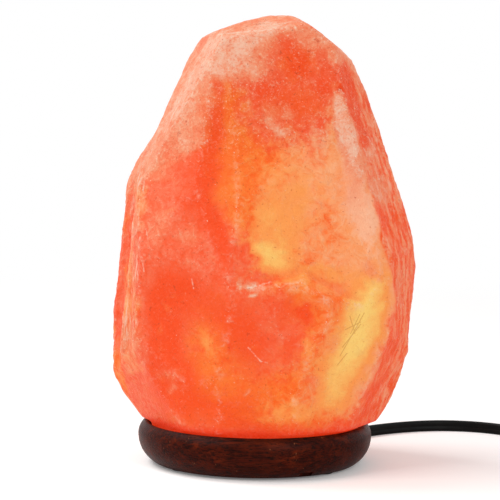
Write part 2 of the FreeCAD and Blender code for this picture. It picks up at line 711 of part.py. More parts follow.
def make_dimmer():
    """A two-part moulded case round a small circuit board, with a dial on a potentiometer shaft."""
    half = DIMMER_LONG / 2
    wall = DIMMER_WALL
    outer = rounded_box(DIMMER_LONG, DIMMER_WIDE, 0, DIMMER_HIGH, 9.0)
    edge = [e for e in outer.Edges if e.BoundBox.ZMin > DIMMER_HIGH - 0.1]
    outer = outer.makeFillet(3.0, edge)
    inner = rounded_box(DIMMER_LONG - 2 * wall, DIMMER_WIDE - 2 * wall, wall, DIMMER_HIGH - wall, 7.4)
    edge = [e for e in inner.Edges if e.BoundBox.ZMin > DIMMER_HIGH - wall - 0.1]
    inner = inner.makeFillet(2.0, edge)
    necks = Part.makeCylinder(3.5, DIMMER_LONG + 4, Vector(-half - 2, 0, DIMMER_SPLIT_Z), Vector(1, 0, 0))
    case = outer.cut(inner).cut(necks)
    below = block(-half - 1, half + 1, -DIMMER_WIDE, DIMMER_WIDE, -1, DIMMER_SPLIT_Z)
    bottom = case.common(below)
    top = case.cut(below)
    top = top.cut(rod(3.4, DIMMER_HIGH - 4, DIMMER_HIGH + 1))
    screws = []
    for x in (-half + 9.5, half - 9.5):
        for y in (-8.2, 8.2):
            post = rod(2.6, wall - 0.2, DIMMER_SPLIT_Z, x, y)
            bottom = bottom.fuse(post).cut(rod(1.3, -1, DIMMER_SPLIT_Z + 1, x, y))
            bottom = bottom.cut(rod(2.2, -1, 1.6, x, y))
            boss = rod(2.6, DIMMER_SPLIT_Z, DIMMER_HIGH - wall + 0.2, x, y)
            top = top.fuse(boss).cut(rod(1.05, DIMMER_SPLIT_Z - 1, 13.2, x, y))
            screw = turned([(0, 0.3), (2.0, 0.3), (2.0, 1.6), (1.0, 1.6), (1.0, 12.2), (0, 13.0)])
            screw = screw.cut(block(-1.3, 1.3, -0.25, 0.25, 0, 0.9))
            screws.append(screw.translated(DIMMER_MIDDLE + Vector(x, y, 0)))
    for i in range(5):
        a = math.radians(-140 + 70 * i)
        mark = block(DIAL_R + 0.5, DIAL_R + 1.2 + 0.2 * i, -0.4, 0.4, DIMMER_HIGH - 0.5, DIMMER_HIGH + 0.3)
        top = top.fuse(mark.rotated(Vector(0, 0, 0), UP, math.degrees(a) - 90))
    save("dimmer_bottom_case", bottom.translated(DIMMER_MIDDLE))
    save("dimmer_top_case", top.translated(DIMMER_MIDDLE))
    save("dimmer_screws", *screws)

    board_z = 3.4
    board = rounded_box(42.0, 10.8, board_z, board_z + 1.4, 1.5)
    save("dimmer_board", board.translated(DIMMER_MIDDLE))
    pot = turned([(3.06, board_z + 1.45), (8.0, board_z + 1.45), (8.0, 10.6), (5.0, 10.6),
                  (5.0, 13.6), (3.06, 13.6)])
    save("potentiometer", pot.translated(DIMMER_MIDDLE))
    on_board = board_z + 1.45
    triac = block(11.0, 15.6, -5.0, 5.0, on_board, 13.0)
    choke = rod(3.6, on_board, 12.0, -13.6, 0).cut(rod(1.4, on_board, 13.0, -13.6, 0))
    capacitor = block(17.0, 20.6, -4.6, 4.6, on_board, 11.5)
    save("dimmer_parts", *[p.translated(DIMMER_MIDDLE) for p in (triac, choke, capacitor)])

    low = DIMMER_HIGH + 0.3
    dial = rod(DIAL_R, low, low + DIAL_HIGH)
    dial = dial.makeFillet(0.8, [e for e in dial.Edges if e.BoundBox.ZMin > low + DIAL_HIGH - 0.1])
    flutes = 24
    for i in range(flutes):
        flute = rod(0.9, low - 1, low + DIAL_HIGH + 1, DIAL_R + 0.35)
        dial = dial.cut(to_bearing(flute, 360 * i / flutes))
    dial = dial.cut(rod(7.0, low + DIAL_HIGH - 0.8, low + DIAL_HIGH + 1))
    pointer = block(-0.6, 0.6, 2.0, 9.6, low + DIAL_HIGH - 1.4, low + DIAL_HIGH + 1)
    dial = dial.cut(pointer).cut(rod(2.95, low - 1, low + 2.4))
    save("dimmer_dial", dial.translated(DIMMER_MIDDLE))
    shaft = rod(3.0, board_z + 1.9, low + 2.3)
    shaft = shaft.cut(block(2.0, 4, -4, 4, low - 0.2, low + 3))
    shaft = rod(2.9, low - 0.2, low + 2.3).common(shaft).fuse(rod(3.0, board_z + 1.9, low - 0.2))
    save("dimmer_shaft", shaft.translated(DIMMER_MIDDLE))

    guards = []
    for way in (1, -1):
        x0 = half - DIMMER_WALL
        guard = turned([
            (0, x0 - 1.8), (4.6, x0 - 1.8), (4.6, x0 - 0.1), (3.4, x0 - 0.1), (3.4, half + 0.2),
            (4.8, half + 0.2), (4.8, half + 3.0), (3.3, half + GUARD_LONG), (0, half + GUARD_LONG),
        ])
        for i in range(4):
            ring = rod(6.0, half + 5 + 3.6 * i, half + 6.4 + 3.6 * i)
            core = rod(3.0, half + 4, half + 20)
            guard = guard.cut(ring.cut(core))
        guard = guard.rotated(Vector(0, 0, 0), Vector(0, 1, 0), 90 * way)
        guards.append(guard.translated(DIMMER_MIDDLE + Vector(0, 0, DIMMER_SPLIT_Z)))
    save("dimmer_guards", *guards)


# --- the plug -----------------------------------------------------------------------------------

def make_plug():
    """A moulded two-blade plug, lying on its side, with one blade wider than the other."""
    x1 = PLUG_END_X - 18.0
    x0 = x1 - PLUG_BODY_LONG
    half = PLUG_BODY_WIDE / 2
    nose = 0.8
    outline = [
        Vector(x0, PLUG_Y - half, 0), Vector(x0, PLUG_Y + half, 0),
        Vector(x1 - 9, PLUG_Y + half * 0.92, 0), Vector(x1, PLUG_Y + 6.2, 0),
        Vector(x1, PLUG_Y - 6.2, 0), Vector(x1 - 9, PLUG_Y - half * 0.92, 0),
    ]
    body = flat_face(*outline).extrude(Vector(0, 0, PLUG_BODY_HIGH))
    body = body.makeFillet(2.2, [e for e in body.Edges if e.BoundBox.XMin > x0 + nose])
    middle = PLUG_BODY_HIGH / 2
    blades = []
    for y, tall in ((-6.35, 7.9), (6.35, 6.35)):
        foot = x0 + 6.0
        blade = block(x0 - BLADE_LONG, foot, PLUG_Y + y - 0.75, PLUG_Y + y + 0.75,
                      middle - tall / 2, middle + tall / 2)
        tip = [e for e in blade.Edges if e.BoundBox.XMax < x0 - BLADE_LONG + 0.1
               and abs(e.tangentAt(e.FirstParameter).y) > 0.99]
        blade = blade.makeFillet(1.2, tip)
        hole = Part.makeCylinder(1.5, 4, Vector(x0 - BLADE_LONG + 4, PLUG_Y + y - 2, middle), Vector(0, 1, 0))
        body = body.cut(blade)
        blades.append(blade.cut(hole))
    save("plug_body", body)
    save("plug_blades", *blades)
    relief = Part.makeCone(5.0, 3.4, 18.0, Vector(x1, PLUG_Y, middle), Vector(1, 0, 0))
    for i in range(4):
        ring = Part.makeCylinder(7, 1.3, Vector(x1 + 3 + 3.4 * i, PLUG_Y, middle), Vector(1, 0, 0))
        core = Part.makeCylinder(3.1, 16, Vector(x1 + 1, PLUG_Y, middle), Vector(1, 0, 0))
        relief = relief.cut(ring.cut(core))
    save("plug_strain_relief", relief)


make_crystal()
make_base()
make_base_fittings()
make_cover_plate()
make_holder()
make_lead_in()
make_bulb()
make_leads()
make_dimmer()
make_plug()
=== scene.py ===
import math

import bmesh
import bpy
import numpy as np
from mathutils import Matrix, Vector, noise


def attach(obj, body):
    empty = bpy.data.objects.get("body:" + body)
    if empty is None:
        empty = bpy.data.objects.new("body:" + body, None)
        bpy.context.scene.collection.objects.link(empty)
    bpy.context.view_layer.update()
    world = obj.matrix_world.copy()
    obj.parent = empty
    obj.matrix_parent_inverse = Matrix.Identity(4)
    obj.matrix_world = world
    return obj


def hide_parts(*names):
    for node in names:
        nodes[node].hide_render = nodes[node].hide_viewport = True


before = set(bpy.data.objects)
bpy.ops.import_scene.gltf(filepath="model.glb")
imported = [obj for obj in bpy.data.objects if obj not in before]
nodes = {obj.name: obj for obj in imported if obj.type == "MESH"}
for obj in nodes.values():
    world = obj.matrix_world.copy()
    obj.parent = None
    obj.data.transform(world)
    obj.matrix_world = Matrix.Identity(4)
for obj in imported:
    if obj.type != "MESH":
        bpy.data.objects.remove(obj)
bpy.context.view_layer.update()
MM = 0.001


# --- the wooden base ----------------------------------------------------------------------------
# A disc of dark rosewood with a raised rim, turned on a lathe with the grain lying flat, stained
# red-brown and wiped with a satin varnish. Handling has scratched it and chipped its foot.

class Wire:
    """One socket in a finish's nodes. Arithmetic on it adds Math nodes, node() adds any other."""

    def __init__(self, socket):
        self.socket = socket

    def node(self, kind, settings=None, sockets=None, out=0):
        made = self.socket.id_data.nodes.new("ShaderNode" + kind)
        for name, value in (settings or {}).items():
            setattr(made, name, value)
        for name, value in (sockets or {}).items():
            feed(made.inputs[name], value)
        return Wire(made.outputs[out])

    def maths(self, operation, *others):
        return self.node("Math", {"operation": operation}, dict(enumerate((self, *others))))

    def __add__(self, other):
        return self.maths("ADD", other)

    def __sub__(self, other):
        return self.maths("SUBTRACT", other)

    def __rsub__(self, other):
        return self.node("Math", {"operation": "SUBTRACT"}, {0: other, 1: self})

    def __mul__(self, other):
        return self.maths("MULTIPLY", other)

    def __abs__(self):
        return self.maths("ABSOLUTE")

    __radd__, __rmul__ = __add__, __mul__

    def fade(self, low, high):
        """0 below low, 1 above high and smooth between them; high may be the lower one."""
        return self.node("MapRange", {"interpolation_type": "SMOOTHSTEP"},
                         {"Value": self, "From Min": low, "From Max": high})

    def stretched(self, x, y, z):
        """A place or a colour with each of its parts multiplied."""
        return self.node("VectorMath", {"operation": "MULTIPLY"}, {0: self, 1: (x, y, z)})

    def moved(self, x, y, z):
        return self.node("VectorMath", {"operation": "ADD"}, {0: self, 1: (x, y, z)})

    def clouds(self, size, detail=3.0, roughness=0.55, warp=0.0):
        """Soft noise about 0.5, whose patches are about size wide."""
        return self.node("TexNoise", None, {
            "Vector": self, "Scale": 1 / size, "Detail": detail, "Roughness": roughness,
            "Distortion": warp})

    def cells(self, size, feature="F1"):
        """Grains about size wide: how far the nearest one's middle is, or with feature its edge."""
        return self.node("TexVoronoi", {"feature": feature}, {"Vector": self, "Scale": 1 / size})

    def bumped(self, strength, distance):
        """The surface's direction where the value stands as a height over it."""
        return self.node("Bump", None, {"Height": self, "Strength": strength, "Distance": distance})


def feed(socket, value):
    """Links a wire to a node's socket, or sets a plain value there."""
    if isinstance(value, Wire):
        socket.id_data.links.new(value.socket, socket)
    else:
        socket.default_value = value


def shade(red, green, blue):
    """A colour as a picture shows it, 0 to 255, turned into the light that it stands for."""
    def light(part):
        part /= 255
        return part / 12.92 if part <= 0.04045 else ((part + 0.055) / 1.055) ** 2.4
    return (light(red), light(green), light(blue), 1.0)


def mixed(amount, first, second):
    """The first colour where amount is 0 and the second where it is 1."""
    wire = next(part for part in (amount, first, second) if isinstance(part, Wire))
    return wire.node("Mix", {"data_type": "RGBA"}, {0: amount, 6: first, 7: second}, out=2)


def layered(colour, *layers):
    """The colour with each layer, an amount and a colour, laid over it in turn."""
    for amount, over in layers:
        colour = mixed(amount, colour, over)
    return colour


def new_finish(name, **constants):
    """A material, its shader, and the place on the piece in millimetres as a wire."""
    finish = bpy.data.materials.new(name)
    finish.use_nodes = True
    shader = finish.node_tree.nodes["Principled BSDF"]
    for socket, value in constants.items():
        shader.inputs[socket.replace("_", " ")].default_value = value
    place = Wire(finish.node_tree.nodes.new("ShaderNodeTexCoord").outputs["Object"])
    return finish, shader.inputs, place.stretched(1 / MM, 1 / MM, 1 / MM)


def dress(finish, *names):
    """Gives the frame's own pieces a finish."""
    for name in names:
        nodes[name].data.materials.clear()
        nodes[name].data.materials.append(finish)


rosewood, skin, place = new_finish("rosewood", Specular_IOR_Level=0.05)
along = place.stretched(0.09, 1.0, 1.0)
rings = along.clouds(5.5, 4, 0.6, 0.6)
streaks = place.stretched(0.05, 0.8, 1.6).clouds(1.1, 3, 0.65)
pores = place.stretched(0.22, 1.2, 1.2).clouds(0.75, 3, 0.6).fade(0.52, 0.66)
mottle = place.stretched(0.5, 1, 1).clouds(4.5, 4, 0.65)
wear = place.clouds(9, 4, 0.6).fade(0.52, 0.75)
scuffs = place.stretched(0.9, 0.9, 0.4).clouds(1.1, 3, 0.6).fade(0.64, 0.70) * wear
feed(skin["Base Color"], layered(
    mixed(streaks.fade(0.30, 0.72), shade(20, 3, 1), shade(66, 15, 3)),
    (mottle.fade(0.42, 0.66) * 0.5, shade(84, 26, 6)),
    (rings.fade(0.54, 0.70) * 0.6, shade(104, 34, 8)),
    (pores * 0.8, shade(22, 6, 2)),
    (scuffs * 0.7, shade(176, 104, 66)),
))
feed(skin["Roughness"], streaks * 0.12 + wear * 0.12 + 0.30)
grain = streaks * 0.6 + rings * 0.5 - pores * 0.8 - scuffs * 0.5
feed(skin["Normal"], grain.bumped(0.30, 0.35 * MM))
dress(rosewood, "wood_base")


# --- what screws the crystal to the base, and what the base stands on ---------------------------
# Three zinc-plated countersunk wood screws run up through the base into ribbed nylon plugs in the
# crystal. Four soft pads are glued into shallow holes in the base's foot.

zinc, skin, place = new_finish("zinc", Metallic=1.0)
brushing = place.stretched(0.3, 0.3, 4.0).clouds(0.9, 2)
dulled = place.clouds(6).fade(0.35, 0.7)
feed(skin["Base Color"], mixed(dulled, shade(196, 196, 190), shade(168, 166, 158)))
feed(skin["Roughness"], brushing * 0.22 + 0.22)
feed(skin["Normal"], brushing.bumped(0.12, 0.05 * MM))
dress(zinc, "base_screws", "cover_plate", "clip_rivets", "holder_screws", "dimmer_screws",
      "potentiometer")

nylon, skin, place = new_finish("nylon", Specular_IOR_Level=0.4)
feed(skin["Base Color"], mixed(place.clouds(4), shade(226, 222, 208), shade(206, 200, 184)))
feed(skin["Roughness"], place.clouds(1.5) * 0.2 + 0.4)
dress(nylon, "screw_plugs", "dimmer_shaft")

pad_rubber, skin, place = new_finish("pad_rubber", Specular_IOR_Level=0.2)
grit = place.clouds(0.5, 2)
feed(skin["Base Color"], mixed(grit, shade(30, 29, 29), shade(46, 44, 43)))
feed(skin["Roughness"], grit * 0.2 + 0.7)
feed(skin["Normal"], grit.bumped(0.3, 0.1 * MM))
dress(pad_rubber, "foot_pads")


# --- the plate, clips and lamp holder -----------------------------------------------------------
# A stamped steel disc closes the bore. Two spring steel clips riveted to it grip the bore's wall,
# and a black moulded holder with a threaded brass sleeve stands on it.

spring_steel, skin, place = new_finish("spring_steel", Metallic=1.0)
heat = place.clouds(5)
feed(skin["Base Color"], mixed(heat, shade(118, 122, 130), shade(150, 146, 140)))
feed(skin["Roughness"], place.stretched(3, 3, 0.4).clouds(0.8) * 0.25 + 0.2)
dress(spring_steel, "spring_clips")

phenolic, skin, place = new_finish("phenolic", Specular_IOR_Level=0.35)
flow = place.clouds(3, 4)
feed(skin["Base Color"], mixed(flow, shade(26, 24, 24), shade(40, 37, 35)))
feed(skin["Roughness"], flow * 0.25 + 0.3)
feed(skin["Normal"], place.clouds(0.6, 2).bumped(0.15, 0.05 * MM))
dress(phenolic, "holder_body", "lead_clamp")

brass, skin, place = new_finish("brass", Metallic=1.0)
tarnish = place.clouds(3, 4).fade(0.45, 0.75)
feed(skin["Base Color"], mixed(tarnish, shade(214, 176, 98), shade(168, 128, 66)))
feed(skin["Roughness"], tarnish * 0.25 + place.stretched(1, 1, 0.2).clouds(0.5) * 0.15 + 0.15)
dress(brass, "socket_sleeve", "centre_contact", "plug_blades")


# --- the held stretch of lead -------------------------------------------------------------------
# The flat twin lead runs over the plate under a moulded clamp; its two copper cores are stripped
# and go into the holder's terminals.

black_lead, skin, place = new_finish("black_lead", Specular_IOR_Level=0.12)
grime = place.clouds(7, 3)
feed(skin["Base Color"], mixed(grime.fade(0.35, 0.75), shade(5, 5, 5), shade(12, 11, 10)))
feed(skin["Roughness"], place.clouds(2.5, 3) * 0.2 + 0.42)
feed(skin["Normal"], place.clouds(0.7, 2).bumped(0.12, 0.08 * MM))
dress(black_lead, "lead_in")

copper, skin, place = new_finish("copper", Metallic=1.0)
strands = place.stretched(1, 1, 2.5).clouds(0.35, 2)
feed(skin["Base Color"], mixed(strands, shade(190, 112, 74), shade(226, 150, 106)))
feed(skin["Roughness"], strands * 0.3 + 0.2)
dress(copper, "stripped_cores")


# --- the bulb -----------------------------------------------------------------------------------
# A small clear candelabra bulb with a nickel-plated screw cap, a black glass insulator and a
# soldered tip. A glass stem carries the wires and the glowing filament.

GLASS_ALPHA = 0.28
GLASS_GLOW = 0.35
FILAMENT_GLOW = 14.0

clear_glass, skin, place = new_finish("clear_glass", IOR=1.45, Alpha=GLASS_ALPHA)
haze = place.clouds(9, 3).fade(0.45, 0.8)
feed(skin["Base Color"], mixed(haze, shade(255, 244, 222), shade(255, 226, 176)))
feed(skin["Roughness"], haze * 0.08 + 0.03)
feed(skin["Emission Color"], mixed(haze, shade(255, 176, 84), shade(255, 150, 60)))
skin["Emission Strength"].default_value = GLASS_GLOW
dress(clear_glass, "bulb_glass", "bulb_stem")

nickel, skin, place = new_finish("nickel", Metallic=1.0)
rubbed = place.clouds(2, 3)
feed(skin["Base Color"], mixed(rubbed, shade(206, 202, 190), shade(178, 172, 158)))
feed(skin["Roughness"], rubbed * 0.2 + 0.12)
dress(nickel, "bulb_cap", "bulb_tip")

insulator_glass, skin, place = new_finish("insulator_glass")
feed(skin["Base Color"], mixed(place.clouds(1.5), shade(18, 16, 22), shade(34, 30, 40)))
feed(skin["Roughness"], place.clouds(1) * 0.1 + 0.08)
dress(insulator_glass, "bulb_insulator")

hot_wire, skin, place = new_finish("hot_wire", Metallic=0.5, Roughness=0.4)
feed(skin["Base Color"], mixed(place.clouds(1), shade(190, 150, 110), shade(230, 190, 140)))
feed(skin["Emission Color"], mixed(place.clouds(0.8), shade(255, 196, 110), shade(255, 170, 84)))
skin["Emission Strength"].default_value = FILAMENT_GLOW
dress(hot_wire, "filament")


# --- the salt crystal ---------------------------------------------------------------------------
# One lump of rock salt, hewn with a chisel and washed, so that its edges are soft and frosted. The
# frame's crystal gives its form. Iron makes it coral red, and the bulb in its bore lights the thin
# and clear parts orange and yellow.

CRYSTAL_GRAIN = 1.1 * MM  # the spacing of the finished mesh's points

# All that follows on the crystal is in millimetres. Its bore and its foot, which sits in the rim of
# the base, stay as the frame has them, and the rest gets its relief.
AXIS_X = -3.0
BORE_R = 24.5
BORE_TOP_Z = 105.0
PLAIN_BELOW_Z = 20
ROUGH_ABOVE_Z = 30
BULB_Z = 70
GLOW_REACH = 45

# the relief: how wide each form is, and how far it stands out
LUMP_WIDE, LUMP_RISE = 11, 0.42
GRIT_WIDE, GRIT_RISE = 2.6, 0.20
FLOW_WIDE, FLOW_LONG, FLOW_RISE = 2.4, 15, 0.40  # upright flow lines on the flank and the strip
SPLIT_GRIT_RISE = 0.15
CREST_BEND = 0.12  # how far a full crest stands out from the points round it
HOLLOW_BEND = 0.06

# how the edges of the patches wander and fray: how wide the bends are, and how far they go
WANDER_WIDE, WANDER_FAR = 8, 3.2
FRAY_WIDE, FRAY_FAR = 2.9, 1.5
BLUR_SEED = 5  # so that they are the same each run

# what is only coloured: wide veins, and light streaks that run across the smooth face
VEIN_WIDE = 30
SWEEP_WIDE, SWEEP_LONG, SWEEP_DEEP = 2.6, 16, 30
SWEEP_LEAN = math.radians(58)

# The edge between the crystal's front and its right flank, from the top down, as (height, x)
RIGHT_EDGE = [(206, 30), (190, 33), (178, 33), (169, 36), (157, 39), (139, 44), (124, 48),
              (107, 51.5), (93, 56.5), (79, 59.5), (65, 57.5), (54, 52.5), (38, 47.5), (26, 41),
              (16, 38)]
# The edge between its front and the streaked strip down its left side
LEFT_EDGE = [(206, -60), (157, -56), (123, -53), (108, -55), (88, -55.5), (71, -56), (56, -60),
             (45, -68), (16, -72)]

# Patches on the front, as (x, z, half length, half width, lean to the right, strength)
LIT = [  # where the bulb shines through, yellow
    (1, 101, 5, 5, 0, 0.8), (7, 98, 7, 8, 20, 0.55), (8, 112, 14, 12, 30, 0.35),
    (10, 132, 10, 18, 30, 0.25), (29, 92, 5, 9, 0, 0.4), (49, 84, 9, 5, 15, 0.4),
    (43, 70, 20, 8.5, 22, 1.35), (35, 50, 13, 9, 25, 0.6), (-24, 61, 7, 3.5, 0, 0.27),
    (10, 31, 6, 12, 0, 0.4), (20, 62, 7, 4, 0, 0.3), (0, 118, 8, 6, 30, 0.3),
    (30, 38, 9, 8, 20, 0.4), (16, 92, 4, 6, 0, 0.3), (-64, 80, 12, 3, 0, 0.3),
]
PEACH = [  # frosted clear salt, pale orange
    (22, 136, 20, 18, 30, 0.55), (37, 144, 24, 8, -12, 1.0), (44, 118, 20, 9, -12, 1.2),
    (49, 96, 14, 10, 0, 1.2), (51, 74, 18, 8, 20, 1.2), (41, 48, 16, 12, 20, 0.9),
    (24, 36, 10, 14, 0, 0.5), (10, 116, 22, 18, 0, 0.5), (28, 96, 14, 16, 0, 0.5),
    (-57, 124, 18, 6, -8, 0.6), (-62, 84, 26, 5.5, 0, 0.7), (-60, 50, 10, 7, 0, 0.4),
    (28, 68, 20, 9, 10, 0.4), (-43, 140, 12, 10, 0, 0.3),
]
RIDGE = [  # the frosted pink edge beside the right flank
    (36, 158, 9, 5, 0, 1.0), (38, 143, 11, 5, -12, 1.0), (42, 126, 12, 5, -12, 0.9),
    (46, 110, 10, 5, -8, 0.6), (52, 93, 9, 5, -10, 0.6), (55, 78, 9, 4, 0, 0.5),
    (40, 118, 9, 12, 0, 0.5), (-54, 138, 14, 6, 30, 0.5), (-30, 172, 14, 12, 40, 0.5),
]
CLEAR = [  # clear orange salt
    (-20, 171, 9, 7, 10, 1.0), (-21, 156, 14, 9, 0, 1.0), (-14, 143, 13, 13, 0, 0.9),
    (4, 135, 12, 22, 0, 0.8), (-6, 122, 12, 16, 0, 0.7), (16, 112, 26, 24, 0, 0.8),
    (30, 92, 22, 20, 0, 0.8), (34, 60, 34, 16, 20, 0.9), (8, 36, 14, 26, 0, 0.9),
    (-22, 60, 24, 18, 0, 0.7), (-34, 36, 14, 18, 0, 0.5), (-62, 72, 28, 6, 0, 0.7),
    (14, 186, 8, 8, 0, 0.8), (12, 166, 10, 20, 0, 0.5),
]
IRON = [  # iron-stained, deep red
    (15, 185, 8, 6, 0, 1.1), (8, 191, 5, 4, 0, 0.7), (26, 175, 7, 5, 0, 0.8),
    (3, 175, 7, 7, 0, 0.5), (13, 166, 8, 13, 0, 0.65), (-4, 171, 5, 5, 0, 0.6),
    (-22, 174, 5, 4, 0, 0.7), (-23, 158, 15, 6, 0, 0.85), (-27, 137, 12, 9, 15, 0.85),
    (-29, 122, 10, 8, 0, 0.7), (-20, 108, 15, 4.5, -20, 1.0), (-38, 84, 11, 13, 0, 0.9),
    (-44, 61, 22, 8, 0, 1.2), (-36, 42, 14, 12, 0, 0.8), (-17, 74, 14, 14, 0, 0.6),
    (-4, 60, 18, 13, 0, 0.65), (-17, 33, 9, 22, 0, 0.65), (11, 78, 10, 8, 0, 0.5),
    (18, 75, 4, 2.6, -20, 0.9), (13, 61, 6, 2.6, 30, 0.6), (4, 33, 7, 0.9, 8, 0.8),
    (-15, 60, 2.5, 1, 10, 0.7), (-35, 99, 3, 1.4, 10, 0.6), (0, 24, 5, 30, 0, 0.5),
    (36, 178, 8, 4, -10, 1.5), (41, 160, 9, 4, -15, 1.1), (45, 148, 6, 4, -15, 0.6),
    (53, 116, 9, 5, -15, 0.9), (60, 100, 9, 3, -10, 0.5), (58, 58, 9, 5, 20, 0.8),
    (51, 38, 12, 5, 25, 0.8), (46, 27, 6, 8, 0, 0.5), (-7, 104, 3, 3, 0, 0.3),
]
CRUST = [  # pale crust
    (-36, 168, 30, 15, 35, 0.30), (-10, 190, 10, 26, 0, 0.25),
    (-38, 180, 10, 8, 35, 0.9), (-27, 190, 8, 9, 45, 1.0), (-12, 196, 7, 12, -8, 1.0),
    (6, 202, 5, 12, -8, 1.0), (24, 196, 6, 8, 0, 0.8), (32, 187, 6, 5, 0, 0.7),
    (-44, 167, 12, 6, 30, 0.9), (-52, 152, 12, 6, 32, 0.8), (-59, 138, 9, 5, 20, 0.7),
    (-20, 184, 8, 10, 0, 0.8), (-34, 160, 12, 8, 20, 0.55), (-4, 182, 7, 8, 0, 0.45),
    (33, 167, 5, 3.2, 0, 1.3), (36, 156, 8, 3.5, -12, 1.3), (39, 144, 11, 4, -12, 1.0),
    (38, 128, 15, 9, -10, 0.3), (48, 94, 5, 5, 0, 0.45), (-36, 148, 5, 6, 0, 0.55),
    (-50, 138, 8, 8, 0, 0.45), (-33, 108, 7, 6, 0, 0.4), (-47, 112, 12, 6, 0, 0.4),
    (2, 161, 4, 3.4, 20, 0.6), (6, 156, 2.6, 4, 0, 0.9), (9, 163, 3, 2.4, 0, 0.7),
    (-9, 88, 2.2, 1.2, 10, 1.4), (-5.5, 88.5, 1.8, 1.0, -10, 1.4), (-4, 83, 1.4, 1.2, 0, 1.4),
    (-61, 60, 8, 6, 0, 0.5), (-43, 46, 4, 5, 0, 0.4), (-40, 40, 2.4, 2.4, 0, 0.7),
    (-18, 48, 2, 2.6, 0, 0.5), (22, 45, 5, 4, 0, 0.4), (24, 80, 3, 7, 0, 0.35),
    (30, 62, 5, 4, 0, 0.3), (2, 70, 3, 5, 0, 0.35), (47, 145, 4, 2.5, -10, 0.9),
    (50, 130, 8, 3, -15, 0.6), (56, 126, 6, 2, -15, 0.5), (-8, 40, 1.6, 1.6, 0, 0.7),
    (51, 51, 3, 2, 20, 0.5), (-33, 96, 3, 5, 0, 0.3), (62, 84, 8, 3, 0, 0.5),
]
# Scratches, as (x, z) at both ends: dark ones in the clear lens, pale ones elsewhere
DARK_SCRATCHES = [((44.5, 75), (34, 56)), ((43, 70), (35, 60)), ((38, 74), (40.5, 66)),
                  ((42.5, 74.5), (38.5, 66)), ((36, 68), (43, 71)), ((33, 52), (37, 57))]
DARK_SCRATCH_R = 0.30
PALE_SCRATCHES = [((-6.5, 60), (-1, 54)), ((-1, 54), (2, 53.5)), ((-32, 89.5), (-31, 85)),
                  ((46, 152), (50, 146)), ((44, 147), (47, 141)), ((49, 139), (51.5, 133)),
                  ((-22, 197), (-9, 198.5)), ((-9, 198.5), (1, 199.5)), ((1, 199.5), (9, 203)),
                  ((9, 203), (17, 204)), ((-44, 156), (-38, 170)), ((-61, 132), (-56, 141)),
                  ((-9, 86), (3, 89)), ((-53, 110), (-52, 106)), ((-54, 95), (-53.4, 91.5))]
PALE_SCRATCH_R = 0.42

rough = bmesh.new()
rough.from_mesh(nodes["salt_crystal"].data)
bmesh.ops.remove_doubles(rough, verts=rough.verts, dist=1e-6)
hewn_mesh = bpy.data.meshes.new("hewn")
rough.to_mesh(hewn_mesh)
rough.free()
hewn = bpy.data.objects.new("hewn", hewn_mesh)
bpy.context.scene.collection.objects.link(hewn)
remesh = hewn.modifiers.new("even", "REMESH")
remesh.mode = "VOXEL"
remesh.voxel_size = CRYSTAL_GRAIN
crystal_mesh = bpy.data.meshes.new_from_object(
    hewn.evaluated_get(bpy.context.evaluated_depsgraph_get()))
bpy.data.objects.remove(hewn)


def read(items, field, width):
    """A field of all the mesh's points or directions, as an array so many numbers wide."""
    values = np.zeros(len(items) * width, np.float32)
    items.foreach_get(field, values)
    return values.reshape(-1, width) if width > 1 else values


def eased(values, low, high):
    """0 below low, 1 above high and smooth between them."""
    share = np.clip((values - low) / (high - low), 0, 1)
    return share * share * (3 - 2 * share)


def edge_at(edge, heights):
    """How far to the right an edge is at each height."""
    heights_down, places = zip(*edge)
    return np.interp(heights, heights_down[::-1], places[::-1])


points = read(crystal_mesh.vertices, "co", 3).astype(float) / MM
edges = np.zeros(len(crystal_mesh.edges) * 2, np.int32)
crystal_mesh.edges.foreach_get("vertices", edges)
edges = edges.reshape(-1, 2)
touching = np.bincount(edges.ravel(), minlength=len(points)).astype(float)


def averaged(values, times=1):
    """Each point's value shared with those it touches, so many times."""
    for _ in range(times):
        total = np.zeros_like(values)
        np.add.at(total, edges[:, 0], values[edges[:, 1]])
        np.add.at(total, edges[:, 1], values[edges[:, 0]])
        count = touching if values.ndim == 1 else touching[:, None]
        values = 0.5 * values + 0.5 * total / count
    return values


def outward():
    """Puts the points into the mesh and gives each one's outward direction."""
    crystal_mesh.vertices.foreach_set("co", (points * MM).astype(np.float32).ravel())
    crystal_mesh.update()
    return read(crystal_mesh.vertex_normals, "vector", 3).astype(float)


from_axis = np.hypot(points[:, 0] - AXIS_X, points[:, 1])
in_bore = (from_axis < BORE_R) & (points[:, 2] < BORE_TOP_Z)
worked = np.where(in_bore, 0.0, eased(points[:, 2], PLAIN_BELOW_Z, ROUGH_ABOVE_Z))
points = np.where(in_bore[:, None], points, averaged(points, 2))

